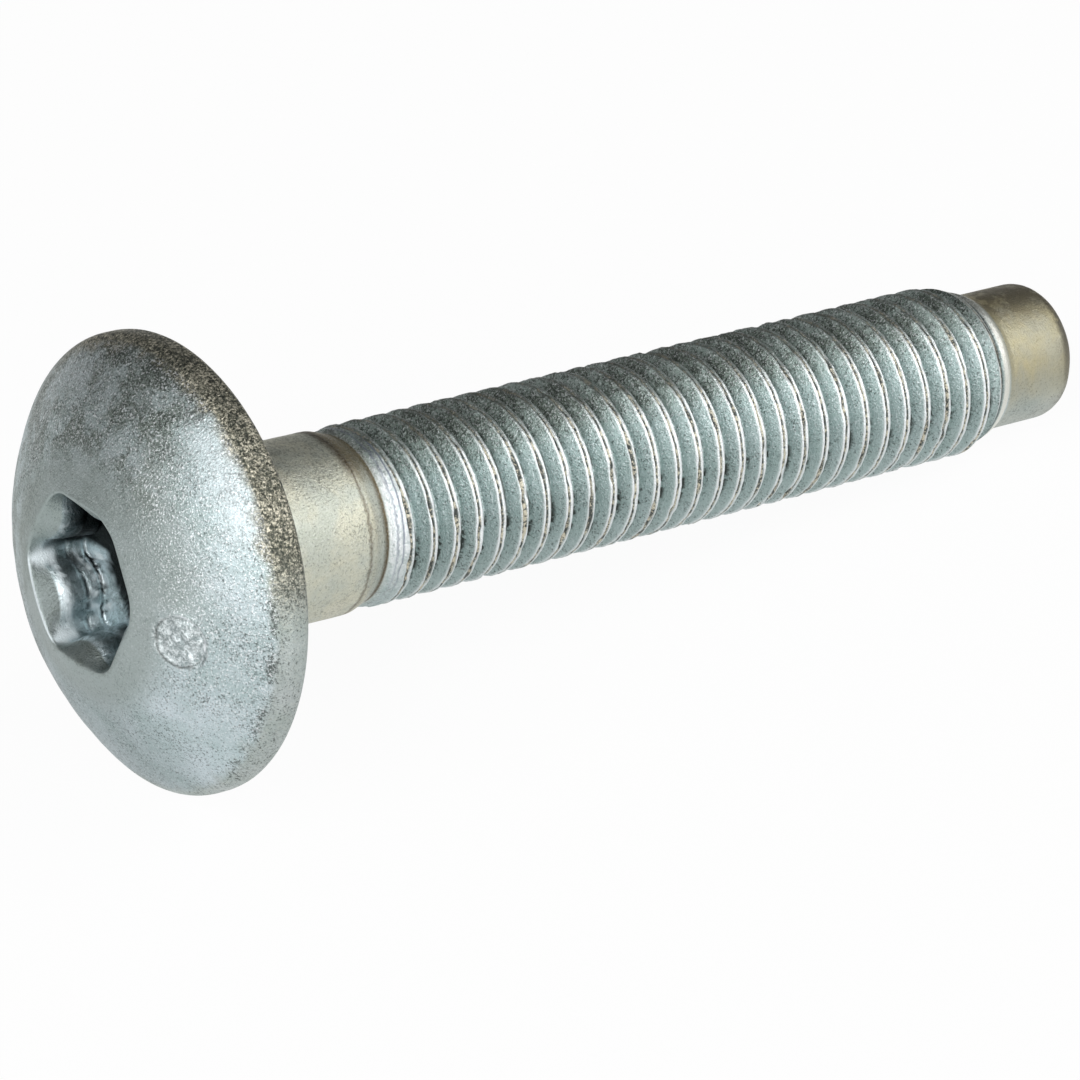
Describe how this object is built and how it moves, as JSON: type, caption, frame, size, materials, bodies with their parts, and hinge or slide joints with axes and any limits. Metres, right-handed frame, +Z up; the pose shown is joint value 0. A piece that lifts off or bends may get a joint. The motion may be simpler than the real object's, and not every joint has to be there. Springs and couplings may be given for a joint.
{
  "type": "star drive bolt",
  "caption": "Zinc plated steel bolt with a low domed head, a six-lobe recess, a plain shoulder, a threaded length and a plain dog point.",
  "frame": {"origin": "on the surface that the bolt lies on, below the middle of its box", "axes": "+X level, from the head to the point; +Z up; the bolt's own axis lies in the XZ plane and falls 7.67 degrees from the head to the point"},
  "size_m": [0.0662, 0.0242, 0.0241],
  "materials": {
    "zinc_plated_steel": "dull clear zinc plating with a fine grain"
  },
  "bodies": {
    "root": {"star_drive_bolt": "zinc_plated_steel"}
  },
  "joints": []
}
